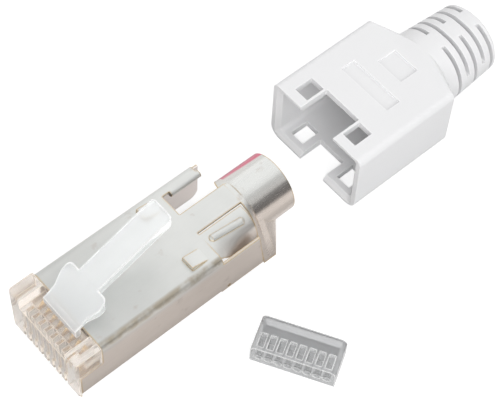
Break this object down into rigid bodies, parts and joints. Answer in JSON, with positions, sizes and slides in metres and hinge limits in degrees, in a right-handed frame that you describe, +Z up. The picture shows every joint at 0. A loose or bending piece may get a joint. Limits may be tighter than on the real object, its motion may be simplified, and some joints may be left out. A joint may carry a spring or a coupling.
{
  "type": "shielded ethernet plug",
  "caption": "Shielded modular network plug with a clear latch, folded metal shell, crimp barrel, gold contacts, white boot and a clear load bar laid out apart.",
  "frame": {"origin": "bottom centre of the plug's front face, on the plane that everything lies on", "axes": "+X along the plug from its nose to the cable, +Y to the plug's left seen from behind the nose, +Z up through the latch"},
  "size_m": [0.0626, 0.0291, 0.014],
  "materials": {
    "clear_body": "clear moulded polycarbonate, faint warm tint",
    "clear_latch": "clear moulded polycarbonate, frosted",
    "contact_gold": "gold plated",
    "shell_sheet": "satin nickel plate",
    "white_boot": "fine satin",
    "clear_bar": "clear moulded polycarbonate, grey"
  },
  "bodies": {
    "plug": {"housing": "clear_body", "contact_1": "contact_gold", "contact_2": "contact_gold", "contact_3": "contact_gold", "contact_4": "contact_gold", "contact_5": "contact_gold", "contact_6": "contact_gold", "contact_7": "contact_gold", "contact_8": "contact_gold", "shield_shell": "shell_sheet", "boot": "white_boot", "load_bar": "clear_bar"},
    "latch": {"latch_lever": "clear_latch"}
  },
  "joints": [
    {"name": "latch_press", "type": "hinge", "parent": "plug", "child": "latch", "pos_m": [0.00265, 0, 0.00645], "axis": [0, 1, 0], "range_deg": [0, 15], "stiffness_Nm_per_rad": 0.004}
  ]
}
